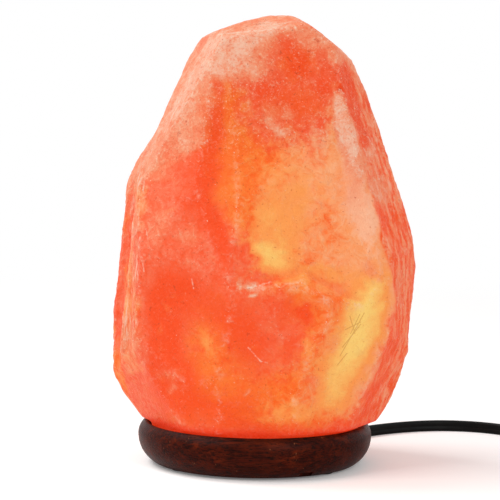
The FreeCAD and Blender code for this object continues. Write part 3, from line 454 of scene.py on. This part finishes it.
# how far each point's place is blurred for the patches, and the forms there, each about 0
noise.seed_set(BLUR_SEED)
blur = np.zeros((len(points), 3))
lumps, grit, flow, veins, sweep = np.zeros((5, len(points)))
for i, (x, y, z) in enumerate(points):
    if in_bore[i]:
        continue
    here = Vector((x, y, z))
    wander = noise.noise_vector(here / WANDER_WIDE) * WANDER_FAR
    blur[i] = wander + noise.noise_vector(here / FRAY_WIDE) * FRAY_FAR
    lumps[i] = noise.fractal(here / LUMP_WIDE, 0.9, 2.1, 3)
    grit[i] = noise.fractal(here / GRIT_WIDE, 0.9, 2.0, 2)
    flow[i] = noise.noise(Vector((x / FLOW_WIDE, y / FLOW_WIDE, z / FLOW_LONG + 0.25 * grit[i])))
    veins[i] = noise.fractal(here / VEIN_WIDE + Vector((7, 3, 1)), 0.8, 2.2, 4)
    along = x * math.sin(SWEEP_LEAN) + z * math.cos(SWEEP_LEAN)
    across = x * math.cos(SWEEP_LEAN) - z * math.sin(SWEEP_LEAN)
    streak = Vector((along / SWEEP_LONG, across / SWEEP_WIDE + 0.5 * lumps[i], y / SWEEP_DEEP))
    sweep[i] = noise.fractal(streak, 0.9, 2.0, 3)

# where the front is, and the two sides along which the salt has split
front = eased(-points[:, 1], 2, 14)
right_flank = eased(points[:, 0] + 0.3 * blur[:, 0] - edge_at(RIGHT_EDGE, points[:, 2]), -0.8, 1.2)
left_strip = eased(edge_at(LEFT_EDGE, points[:, 2]) - points[:, 0], -1.5, 2.0)
split = np.maximum(left_strip, 0.5 * right_flank)
rise = LUMP_RISE * lumps + GRIT_RISE * grit + split * (FLOW_RISE * flow + SPLIT_GRIT_RISE * grit)
normals = outward()
bend = ((averaged(points, 4) - points) * normals).sum(1)
# crests: worn frost, with a painted highlight along them in the finish
crest = np.clip(averaged(-bend, 1) / CREST_BEND, 0, 1)
# hollows: a painted shade of deeper red in the finish
hollow = np.clip(averaged(bend, 3) / HOLLOW_BEND, 0, 1)
points += normals * (rise * worked)[:, None]
outward()


def patches(spread, behind):
    """How strongly a list of patches marks each point; behind does so on the back and sides."""
    total = np.zeros(len(points))
    for x, z, long, wide, lean, strength in spread:
        a = math.radians(lean)
        right, up = points[:, 0] + blur[:, 0] - x, points[:, 2] + blur[:, 2] - z
        along, across = right * math.sin(a) + up * math.cos(a), right * math.cos(a) - up * math.sin(a)
        total += strength * np.exp(-(along / long) ** 2 - (across / wide) ** 2)
    return total * front + behind * (1 - front)


# what the finish reads at each point
by_the_bulb = np.exp(-((points[:, 2] - BULB_Z) / GLOW_REACH) ** 2)
weathered = eased(points[:, 2] - 0.5 * points[:, 0] + 12 * lumps, 125, 180)
fields = {
    "lit": patches(LIT, 0.8 * eased(veins, 0.1, 1.1) * by_the_bulb),
    "peach": patches(PEACH, eased(veins, -0.1, 0.7) * by_the_bulb * 0.7),
    "ridge": patches(RIDGE, 0),
    "clear": patches(CLEAR, eased(veins, -0.3, 0.3) * (0.3 + by_the_bulb)),
    "iron": patches(IRON, eased(-veins, 0.15, 0.7) * 0.8),
    "crust": patches(CRUST, 0.8 * weathered + 0.15 * crest),
    "crest": crest,
    "hollow": hollow,
    "front": front,
    "flank": right_flank,
    "strip": left_strip * front,
    "upper": eased(points[:, 2], 132, 158),
    # the front of the foot, where a deep red glow is painted
    "foot": front * eased(-points[:, 2], -24.5, -20.5),
    "flow": flow,
    "sweep": sweep,
}
for name, values in fields.items():
    field = crystal_mesh.attributes.new(name, "FLOAT", "POINT")
    field.data.foreach_set("value", values.astype(np.float32))
crystal_mesh.shade_smooth()
crystal_mesh.materials.clear()
crystal = bpy.data.objects.new("crystal", crystal_mesh)
bpy.context.scene.collection.objects.link(crystal)


def scratches(place, lines, half_wide):
    """1 on the lines across the front, each between two places (x, z), and 0 off them."""
    flat, marks = place.stretched(1, 0, 1), None
    for (x0, z0), (x1, z1) in lines:
        run = Vector((x1 - x0, 0, z1 - z0))
        start = flat.moved(-x0, 0, -z0)
        share = start.node("VectorMath", {"operation": "DOT_PRODUCT"}, {0: start, 1: run}, out=1)
        share = share.node("Math", {"operation": "MULTIPLY", "use_clamp": True},
                           {0: share, 1: 1 / run.length_squared})
        nearest = share.node("VectorMath", {"operation": "SCALE"}, {0: run, "Scale": share})
        off = start.node("VectorMath", {"operation": "DISTANCE"}, {0: start, 1: nearest}, out=1)
        mark = off.fade(half_wide, half_wide * 0.4)
        marks = mark if marks is None else marks.maths("MAXIMUM", mark)
    return marks


salt, skin, place = new_finish("salt", Specular_IOR_Level=0.2, Emission_Strength=1.0)
seen = {name: place.node("Attribute", {"attribute_name": name}, out=2) for name in fields}
flank = seen["flank"]

# noise about 0, from the widest to the finest
blots = place.clouds(9, 5, 0.62, 0.8) - 0.5
patchy = place.moved(40, 0, 9).clouds(4.2, 4, 0.65, 1.0) - 0.5
specks = place.clouds(1.5, 4, 0.75) - 0.5
dust = place.moved(0, 8, 0).clouds(0.8, 3, 0.7) - 0.5

# the kinds of salt, with the edges of their patches broken up
lit = seen["lit"] + blots * 0.5 + patchy * 0.2 + seen["sweep"] * 0.06
peach = (seen["peach"] + blots * 0.6 + patchy * 0.4 + seen["sweep"] * 0.10).fade(0.18, 0.80)
ridge = (seen["ridge"] + patchy * 0.7 + specks * 0.4).fade(0.25, 0.90)
clear = (seen["clear"] + blots * 0.9 + patchy * 0.5).fade(0.1, 0.9)
iron = (seen["iron"] + blots * 0.9 + patchy * 0.9 + specks * 0.3).fade(0.15, 0.95)
crust = (seen["crust"].maths("MINIMUM", 1.05) * 0.8 - 0.14 + blots * 0.4
         + patchy * 0.9 + specks * 0.6 + dust * 0.3)
coarse = (seen["crust"] + flank * (0.5 - iron * 0.4) + seen["strip"] * 0.4 + seen["upper"] * 0.7)
coarse = coarse.fade(0, 1) * 0.80 + 0.22
bare = 1 - iron * 0.55

coral_salt = mixed((patchy + blots * 0.4 + specks * 0.5).fade(-0.22, 0.26),
                   shade(251, 84, 38), shade(251, 118, 84))
clear_salt = mixed((patchy + blots).fade(-0.3, 0.3), shade(254, 96, 18), shade(254, 130, 50))
frosted_salt = mixed(patchy.fade(-0.25, 0.25), shade(254, 148, 84), shade(254, 172, 124))
flank_salt = mixed((patchy + seen["flow"] * 0.5 + specks * 0.5).fade(-0.28, 0.28),
                   shade(253, 86, 24), shade(254, 142, 96))
flank_salt = mixed(iron * 0.95, flank_salt, shade(248, 76, 18))
colour = layered(
    coral_salt,
    (clear, clear_salt),
    (iron * 0.9, shade(251, 72, 14)),
    (peach * 0.95, frosted_salt),
    (ridge * 0.75, shade(254, 184, 150)),
    (lit.fade(0.05, 0.42), shade(255, 152, 76)),
    (lit.fade(0.36, 0.85), shade(255, 184, 98)),
    (lit.fade(0.80, 1.40), shade(255, 206, 114)),
    (flank * 0.95, flank_salt),
)

# pale crust, worn edges with a painted highlight along the crests, fine creases, and a painted shade
# of deeper red in the hollows
creases = abs(place.moved(9, 0, 3).clouds(8, 5, 0.6, 1.2) - 0.5).fade(0.014, 0.0)
creases = creases * patchy.fade(0.0, 0.12)
colour = layered(
    colour,
    (seen["crust"].fade(0.05, 0.65) * bare * 0.8, shade(251, 138, 96)),
    (crust.fade(0.08, 0.55) * bare * 0.7, shade(252, 156, 118)),
    (crust.fade(0.40, 1.00) * bare * 0.85, shade(254, 208, 184)),
    # painted highlight along the crests, over their worn frost
    (seen["crest"] * (blots + patchy + specks).fade(-0.1, 0.4) * 0.5, shade(253, 200, 176)),
    (creases * coarse * 0.5, shade(253, 196, 168)),
    # painted shade: the hollows are coloured a deeper red
    (seen["hollow"] * 0.3, shade(248, 72, 26)),
)

# upright threads on both sides, and frost, chips with painted glints among them, pits, stains and
# scratches
threads = place.stretched(1, 1, 0.16).clouds(1.7, 3, 0.65, 0.6) - 0.5 + seen["flow"] * 0.12
split_sides = (seen["strip"] + flank * 0.45).fade(0, 1) * (1 - iron * 0.7)
frost = dust * 0.8 + specks * 0.6 + patchy * 0.3
# tiny near-white specks: chips, and painted glints
chips_and_glints = (dust + specks * 0.5 + seen["crest"] * 0.08 + coarse * 0.05).fade(0.23, 0.30)
pits = place.moved(5, 50, 0).clouds(1.3, 3, 0.65).fade(0.64, 0.70)
stains = place.moved(60, 5, 30).clouds(3.2, 4, 0.7, 0.5).fade(0.62, 0.70)
dark_marks = scratches(place, DARK_SCRATCHES, DARK_SCRATCH_R) * seen["front"]
pale_marks = scratches(place, PALE_SCRATCHES, PALE_SCRATCH_R) * seen["front"]
colour = layered(
    colour,
    (threads.fade(0.02, 0.18) * split_sides * 0.7, shade(253, 204, 180)),
    (threads.fade(-0.06, -0.18) * split_sides * 0.4, shade(224, 84, 38)),
    (frost.fade(0.0, 0.26) * coarse * 0.45, shade(254, 196, 162)),
    (frost.fade(0.0, -0.26) * coarse * 0.45, shade(240, 70, 24)),
    (chips_and_glints * 0.75, shade(254, 228, 210)),
    (pits * 0.5, shade(190, 56, 18)),
    (stains * (iron + seen["upper"]).fade(0, 1) * 0.55, shade(196, 56, 14)),
    (dark_marks * 0.42, shade(180, 96, 20)),
    (pale_marks * (patchy + specks * 2 + 0.25), shade(253, 220, 200)),
    # painted glow: the front of the foot is coloured a deep red
    (seen["foot"] * 0.8, shade(248, 52, 12)),
)

# part of the colour is lit from outside, and the rest shines through from the bulb
feed(skin["Base Color"], colour.stretched(0.42, 0.62, 0.62))
feed(skin["Emission Color"], colour.stretched(0.57, 0.43, 0.40))
feed(skin["Roughness"], specks * 0.4 + 0.5)
relief = patchy + specks * coarse * 1.3 + dust * 0.4 + seen["sweep"] * 0.08 - creases * 0.12
relief = relief + place.cells(2.6) * coarse * 0.25 + threads * split_sides * 0.8
feed(skin["Normal"], relief.bumped(1.0, 1.3 * MM))
crystal_mesh.materials.append(salt)
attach(crystal, "lamp_body")
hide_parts("salt_crystal")


# --- the free lead from the base to the dimmer --------------------------------------------------
# A flat twin lead, two cores side by side in black plastic with a groove between them. It leaves
# by the groove in the base and lies on edge on the table, in the loose bends it was packed with.

LEAD_WIDE = 5.6 * MM
LEAD_THICK = 2.8 * MM
LEAD_R = LEAD_WIDE / 2  # its middle's height, where it stands on edge
LEAD_CORNERS = 40
GROOVE_DEEP = 0.34  # as a share of half the lead's thickness
GROOVE_WIDE = 0.5 * MM
LEAD_BEARING = math.radians(53)  # its way out of the base
LEAD_IN_Z = 5.3 * MM
SPLIT_Z = 7.0 * MM  # where the dimmer's halves meet, with the lead between them
DIMMER_MIDDLE = Vector((225, -46, 0)) * MM
GUARD_REACH = 53.0 * MM  # from the dimmer's middle to where the lead enters a guard


def lead_section():
    """The lead's outline, standing on edge: two round cores, and a groove between them."""
    outline = bpy.data.curves.new("lead_section", "CURVE")
    outline.dimensions = "2D"
    spline = outline.splines.new("POLY")
    core = LEAD_THICK / 2
    spline.points.add(LEAD_CORNERS - 1)
    for i in range(LEAD_CORNERS):
        a = 2 * math.pi * i / LEAD_CORNERS
        up = LEAD_R * math.sin(a)
        past = max(abs(up) - core, 0) / core
        side = math.copysign(core * math.sqrt(max(1 - past * past, 0)), math.cos(a))
        side *= 1 - GROOVE_DEEP * math.exp(-(up / GROOVE_WIDE) ** 2)
        spline.points[i].co = (side, up, 0, 1)
    spline.use_cyclic_u = True
    section = bpy.data.objects.new("lead_section", outline)
    bpy.context.scene.collection.objects.link(section)
    section.hide_render = section.hide_viewport = True
    return section


def lead_along(name, route, section):
    """The lead as a smooth curve steered by the route's points."""
    data = bpy.data.curves.new(name, "CURVE")
    data.dimensions = "3D"
    data.twist_mode = "Z_UP"
    data.resolution_u = 10
    data.bevel_mode = "OBJECT"
    data.bevel_object = section
    data.use_fill_caps = True
    spline = data.splines.new("NURBS")
    spline.points.add(len(route) - 1)
    for point, corner in zip(spline.points, route):
        point.co = (*corner, 1)
    spline.order_u = 3
    spline.use_endpoint_u = True
    data.materials.append(black_lead)
    lead = bpy.data.objects.new(name, data)
    bpy.context.scene.collection.objects.link(lead)
    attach(lead, "cord_set")
    return lead


def from_base(r, z):
    """A point of the lead's straight way out of the base, so far from the base's axis."""
    r *= MM
    return Vector((AXIS_X * MM + r * math.cos(LEAD_BEARING), r * math.sin(LEAD_BEARING), z))


section = lead_section()
lamp_route = [
    from_base(28, LEAD_IN_Z),
    from_base(37, LEAD_IN_Z),
    from_base(53, LEAD_R),
    Vector((43, 60.5, 2.8)) * MM,
    Vector((58, 76.0, 2.8)) * MM,
    Vector((76, 87.5, 2.8)) * MM,
    Vector((94, 92.3, 2.8)) * MM,
    Vector((113, 88.0, 2.8)) * MM,
    Vector((128, 76.0, 2.8)) * MM,
    Vector((137, 58.0, 2.8)) * MM,
    Vector((139, 37.0, 2.8)) * MM,
    Vector((135, 16.0, 2.8)) * MM,
    Vector((133, -5.0, 2.8)) * MM,
    Vector((136, -23.0, 2.8)) * MM,
    Vector((143, -37.5, 5.0)) * MM,
    Vector((157, -46.0, 7.0)) * MM,
    DIMMER_MIDDLE + Vector((-GUARD_REACH, 0, SPLIT_Z)),
]
lamp_lead = lead_along("lamp_lead", lamp_route, section)
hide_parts("lead_to_dimmer")
from_base(50, LEAD_R)


# --- the dimmer ---------------------------------------------------------------------------------
# Two moulded halves of black plastic, screwed together from below over a small circuit board.
# A knurled dial turns the potentiometer, and soft sleeves guard the lead at both ends.

case_plastic, skin, place = new_finish("case_plastic", Specular_IOR_Level=0.35)
spark = place.cells(0.45)
feed(skin["Base Color"], mixed(place.clouds(8, 3), shade(22, 22, 23), shade(33, 33, 34)))
feed(skin["Roughness"], spark * 0.25 + 0.42)
feed(skin["Normal"], spark.bumped(0.25, 0.06 * MM))
dress(case_plastic, "dimmer_bottom_case", "dimmer_top_case", "dimmer_dial")

soft_black, skin, place = new_finish("soft_black", Specular_IOR_Level=0.25)
feed(skin["Base Color"], mixed(place.clouds(5, 3), shade(17, 17, 17), shade(29, 28, 28)))
feed(skin["Roughness"], place.clouds(1.2) * 0.2 + 0.5)
feed(skin["Normal"], place.clouds(0.6).bumped(0.15, 0.06 * MM))
dress(soft_black, "dimmer_guards", "plug_body", "plug_strain_relief")

board_green, skin, place = new_finish("board_green")
tracks = place.cells(3.0, "DISTANCE_TO_EDGE").fade(0.10, 0.06)
feed(skin["Base Color"], mixed(tracks, shade(24, 92, 52), shade(40, 128, 74)))
feed(skin["Roughness"], tracks * 0.1 + 0.35)
dress(board_green, "dimmer_board")

part_black, skin, place = new_finish("part_black")
feed(skin["Base Color"], mixed(place.clouds(4), shade(28, 28, 30), shade(52, 50, 48)))
feed(skin["Roughness"], place.clouds(1) * 0.2 + 0.3)
dress(part_black, "dimmer_parts")


# --- the strap on the coil ----------------------------------------------------------------------
# A woven nylon strap with rounded corners goes round both layers of the coil of spare lead, and
# its flap lies over its top.

COIL_MIDDLE = Vector((225, 18, 0)) * MM
COIL_R = 38.4 * MM
COIL_PITCH = 3.4 * MM
COIL_LAYER = 6.2 * MM
COIL_TURNS = 5.75
TIE_THICK = 0.8 * MM
STRAP_BEARING = math.radians(200)
STRAP_WIDE = 6.0 * MM
STRAP_ROUND = 2.4 * MM
STRAP_SLACK = 0.35 * MM
FLAP_LONG = 9.0 * MM
FLAP_WIDE = STRAP_WIDE - 0.3 * MM
FLAP_SUNK = 0.1 * MM
FLAP_ROUND = 0.2 * MM

bundle_inner = COIL_R - COIL_PITCH * COIL_TURNS / 2 - LEAD_THICK / 2 - STRAP_SLACK
bundle_outer = COIL_R + LEAD_THICK / 2 + STRAP_SLACK
bundle_top = TIE_THICK + LEAD_WIDE + COIL_LAYER + STRAP_SLACK

strap_form = bmesh.new()
bmesh.ops.create_cube(strap_form, size=1.0)
bmesh.ops.scale(strap_form, verts=strap_form.verts, vec=(
    bundle_outer - bundle_inner + 2 * TIE_THICK, STRAP_WIDE, bundle_top + TIE_THICK))
open_sides = [face for face in strap_form.faces if abs(face.normal.y) > 0.9]
bmesh.ops.delete(strap_form, context="FACES_ONLY", geom=open_sides)
corners = [edge for edge in strap_form.edges
           if abs(edge.verts[0].co.y - edge.verts[1].co.y) > STRAP_WIDE / 2]
bmesh.ops.bevel(strap_form, offset=STRAP_ROUND, offset_type="OFFSET", segments=6, profile=0.5,
                affect="EDGES", material=-1, geom=corners)
bmesh.ops.recalc_face_normals(strap_form, faces=strap_form.faces)
bmesh.ops.solidify(strap_form, geom=strap_form.faces, thickness=TIE_THICK)
flap = bmesh.ops.create_cube(strap_form, size=1.0)["verts"]
bmesh.ops.scale(strap_form, verts=flap, vec=(FLAP_LONG, FLAP_WIDE, TIE_THICK))
bmesh.ops.translate(strap_form, verts=flap, vec=(0, 0, bundle_top / 2 + TIE_THICK - FLAP_SUNK))
sharp = [edge for edge in strap_form.edges if edge.calc_face_angle(0) > 0.9]
bmesh.ops.bevel(strap_form, offset=FLAP_ROUND, offset_type="OFFSET", segments=2, profile=0.5,
                affect="EDGES", material=-1, geom=sharp)
bmesh.ops.transform(strap_form, verts=strap_form.verts, matrix=(
    Matrix.Translation(COIL_MIDDLE) @ Matrix.Rotation(STRAP_BEARING, 4, "Z")
    @ Matrix.Translation(((bundle_inner + bundle_outer) / 2, 0, (bundle_top + TIE_THICK) / 2))))
strap_mesh = bpy.data.meshes.new("strap")
strap_form.to_mesh(strap_mesh)
strap_form.free()

strap_weave, skin, place = new_finish("strap_weave", Specular_IOR_Level=0.1)
weave = place.cells(0.5)
feed(skin["Base Color"], mixed(weave, shade(22, 22, 24), shade(52, 52, 56)))
feed(skin["Roughness"], weave * 0.2 + 0.7)
feed(skin["Normal"], weave.bumped(0.5, 0.15 * MM))
strap_mesh.materials.append(strap_weave)
strap = bpy.data.objects.new("strap", strap_mesh)
bpy.context.scene.collection.objects.link(strap)
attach(strap, "cord_set")
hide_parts("coil_tie")


# --- the lead from the dimmer to the plug -------------------------------------------------------
# The rest of the flat twin lead. What isn't needed is wound into a coil of two layers inside the
# strap, and its end runs on to the plug.

COIL_START = math.radians(90)
COIL_STEPS = 16  # points to a turn
LAYER_CHANGE = 0.25  # turns on either side of the coil's middle, over which the lead climbs a layer


def coil_place(turns):
    """The coil's middle line after so many turns: inwards on the table, up a layer, outwards."""
    half = COIL_TURNS / 2
    off = abs(turns - half)
    steps = off if off > LAYER_CHANGE else off * off / (2 * LAYER_CHANGE) + LAYER_CHANGE / 2
    r = COIL_R - COIL_PITCH * (half - steps)
    rise = min(1.0, max(0.0, (turns - half) / (2 * LAYER_CHANGE) + 0.5))
    z = TIE_THICK + LEAD_R + COIL_LAYER * rise * rise * (3 - 2 * rise)
    a = COIL_START + 2 * math.pi * turns
    return COIL_MIDDLE + Vector((r * math.cos(a), r * math.sin(a), z))


coil_points = [coil_place(i / COIL_STEPS) for i in range(round(COIL_TURNS * COIL_STEPS) + 1)]
plug_route = [
    DIMMER_MIDDLE + Vector((GUARD_REACH, 0, SPLIT_Z)),
    DIMMER_MIDDLE + Vector((GUARD_REACH + 14 * MM, 0, SPLIT_Z)),
    Vector((308, -37.5, 5.0)) * MM,
    Vector((316, -22.0, 2.8)) * MM,
    Vector((317, -2.0, 2.8)) * MM,
    Vector((313, 20.0, 2.8)) * MM,
    Vector((300, 41.0, 2.8)) * MM,
    Vector((278, 53.0, 2.8)) * MM,
    Vector((252, 57.0, 3.4)) * MM,
    Vector((237, 57.2, 3.6)) * MM,
    *coil_points,
    Vector((264.0, 28.0, 9.8)) * MM,
    Vector((266.4, 42.0, 9.8)) * MM,
    Vector((267.0, 57.0, 9.8)) * MM,
    Vector((259.5, 71.5, 9.4)) * MM,
    Vector((245, 80.0, 8.0)) * MM,
    Vector((229, 80.0, 8.0)) * MM,
]
plug_lead = lead_along("plug_lead", plug_route, section)
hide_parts("lead_to_coil", "lead_coil", "lead_to_plug")


# --- where it stands ----------------------------------------------------------------------------
# A white table under three soft studio lamps, with the camera a little above the crystal's middle
# and looking slightly down.

VIEW_HEIGHT, VIEW_BACK, VIEW_SIDE = 0.182, 0.983, -0.0064
VIEW_DOWN, VIEW_ROLL = math.radians(4.85), math.radians(0.8)
LENS = 154.0
LAMPS_AIM = Vector((0, 0, 0.09))
TABLE_R = 3.0
TABLE_LIFT = 0.14  # how much the table is whitened for the camera alone, near the lamp
FAR_DIM = 0.7  # how white the far table is to all but the camera
AMBIENT = 0.45
WHITE = shade(255, 255, 255)

table_form = bmesh.new()
bmesh.ops.create_circle(table_form, cap_ends=True, segments=96, radius=TABLE_R)
table_mesh = bpy.data.meshes.new("table")
table_form.to_mesh(table_mesh)
table_form.free()
table = bpy.data.objects.new("table", table_mesh)
bpy.context.scene.collection.objects.link(table)

tabletop = bpy.data.materials.new("tabletop")
tabletop.use_nodes = True
tree = tabletop.node_tree
tree.nodes.remove(tree.nodes["Principled BSDF"])
spot = Wire(tree.nodes.new("ShaderNodeTexCoord").outputs["Object"])
path = Wire(tree.nodes.new("ShaderNodeLightPath").outputs["Is Camera Ray"])
matt = spot.node("BsdfDiffuse", None, {"Color": shade(255, 250, 248)})
lift = spot.node("Emission", None, {"Color": WHITE, "Strength": path * TABLE_LIFT})
near = spot.node("AddShader", None, {0: matt, 1: lift})
far = spot.node("Emission", None, {"Color": WHITE, "Strength": path * (1 - FAR_DIM) + FAR_DIM})
distance = spot.node("VectorMath", {"operation": "LENGTH"}, {0: spot}, out=1)
whiter = distance.fade(0.07, 0.20) * 0.5 + distance.fade(0.45, 0.9) * 0.5
both = spot.node("MixShader", None, {0: whiter, 1: near, 2: far})
feed(tree.nodes["Material Output"].inputs["Surface"], both)
table_mesh.materials.append(tabletop)

world = bpy.data.worlds.new("studio")
bpy.context.scene.world = world
world.use_nodes = True
backdrop = world.node_tree.nodes["Background"]
rays = world.node_tree.nodes.new("ShaderNodeLightPath")
seen_white = (Wire(rays.outputs["Is Camera Ray"]) + Wire(rays.outputs["Is Transmission Ray"])
              + Wire(rays.outputs["Is Glossy Ray"]))
feed(backdrop.inputs["Color"], WHITE)
feed(backdrop.inputs["Strength"], seen_white.fade(0, 1) * (1 - AMBIENT) + AMBIENT)


def softbox(name, place, size, power):
    """A large square lamp that points at the crystal's middle."""
    lamp = bpy.data.lights.new(name, "AREA")
    lamp.shape = "SQUARE"
    lamp.size = size
    lamp.energy = power
    holder = bpy.data.objects.new(name, lamp)
    bpy.context.scene.collection.objects.link(holder)
    holder.location = place
    aim = LAMPS_AIM - Vector(place)
    holder.rotation_euler = aim.to_track_quat("-Z", "Y").to_euler()


softbox("left_box", (-0.95, -0.6, 1.1), 0.8, 9.0)
softbox("front_box", (0.7, -1.1, 0.75), 0.7, 6.5)
softbox("top_box", (-0.75, 0.25, 1.15), 0.6, 9.0)

right = Vector((1, 0, 0))
ahead = Vector((0, math.cos(VIEW_DOWN), -math.sin(VIEW_DOWN)))
up = right.cross(ahead)
side = math.cos(VIEW_ROLL) * right + math.sin(VIEW_ROLL) * up
top = math.cos(VIEW_ROLL) * up - math.sin(VIEW_ROLL) * right
camera = bpy.data.objects.new("camera", bpy.data.cameras.new("camera"))
bpy.context.scene.collection.objects.link(camera)
camera.data.lens = LENS
camera.data.clip_start = 0.05
camera.matrix_world = Matrix.Translation((VIEW_SIDE, -VIEW_BACK, VIEW_HEIGHT)) @ Matrix(
    (side, top, -ahead)).transposed().to_4x4()
bpy.context.scene.camera = camera
bpy.context.scene.view_settings.view_transform = "Standard"
